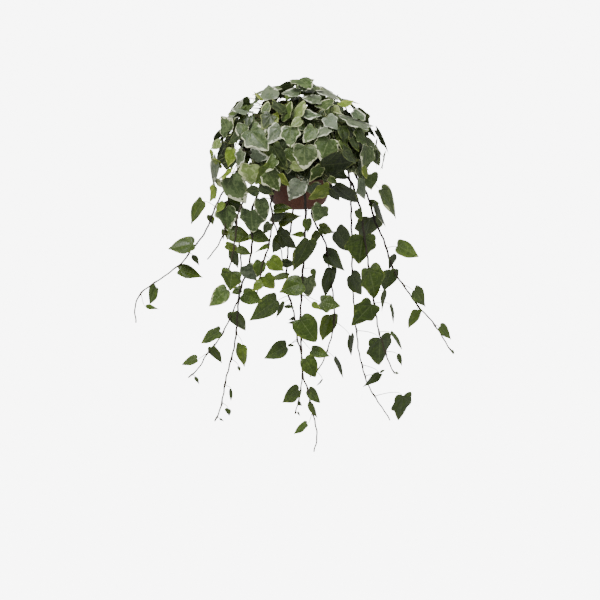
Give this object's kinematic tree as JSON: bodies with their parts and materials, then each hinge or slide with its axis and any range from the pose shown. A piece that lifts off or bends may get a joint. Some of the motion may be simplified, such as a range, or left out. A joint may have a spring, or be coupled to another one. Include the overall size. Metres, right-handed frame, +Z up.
{
  "type": "hanging potted ivy",
  "caption": "Small-leaved ivy in a tapered hanging pot: a bushy dome of cream-edged lobed leaves above long thin vines that fall freely below the pot.",
  "frame": {"origin": "on the pot's axis, in the plane of the flat underside of the pot's rim", "axes": "+Z up along the pot's axis and against the fall of the vines; the front of the plant faces -Y"},
  "size_m": [0.5771, 0.2898, 0.6802],
  "materials": {
    "pot_plastic": "satin, reddish brown",
    "soil": "rough, dark peat crumbs",
    "trailing_foliage": "satin leaves, green with thin pale margins, on dark thin woody stems",
    "crown_foliage": "satin leaves, grey-green with cream-white margins, some young and yellow-green"
  },
  "bodies": {
    "root": {"crown_shoot_lower_1": "crown_foliage", "crown_shoot_lower_10": "crown_foliage", "crown_shoot_lower_2": "crown_foliage", "crown_shoot_lower_3": "crown_foliage", "crown_shoot_lower_4": "crown_foliage", "crown_shoot_lower_5": "crown_foliage", "crown_shoot_lower_6": "crown_foliage", "crown_shoot_lower_7": "crown_foliage", "crown_shoot_lower_8": "crown_foliage", "crown_shoot_lower_9": "crown_foliage", "crown_shoot_upper_1": "crown_foliage", "crown_shoot_upper_2": "crown_foliage", "crown_shoot_upper_3": "crown_foliage", "crown_shoot_upper_4": "crown_foliage", "crown_shoot_upper_5": "crown_foliage", "crown_shoot_upper_6": "crown_foliage", "pot": "pot_plastic", "potting_soil": "soil", "vine_back_left": "trailing_foliage", "vine_back_middle": "trailing_foliage", "vine_back_right": "trailing_foliage", "vine_far_left": "trailing_foliage", "vine_far_right": "trailing_foliage", "vine_front_left": "trailing_foliage", "vine_front_long": "trailing_foliage", "vine_left_front": "trailing_foliage", "vine_left_long": "trailing_foliage", "vine_left_middle": "trailing_foliage", "vine_left_short": "trailing_foliage", "vine_right_back": "trailing_foliage", "vine_right_front": "trailing_foliage"}
  },
  "joints": []
}
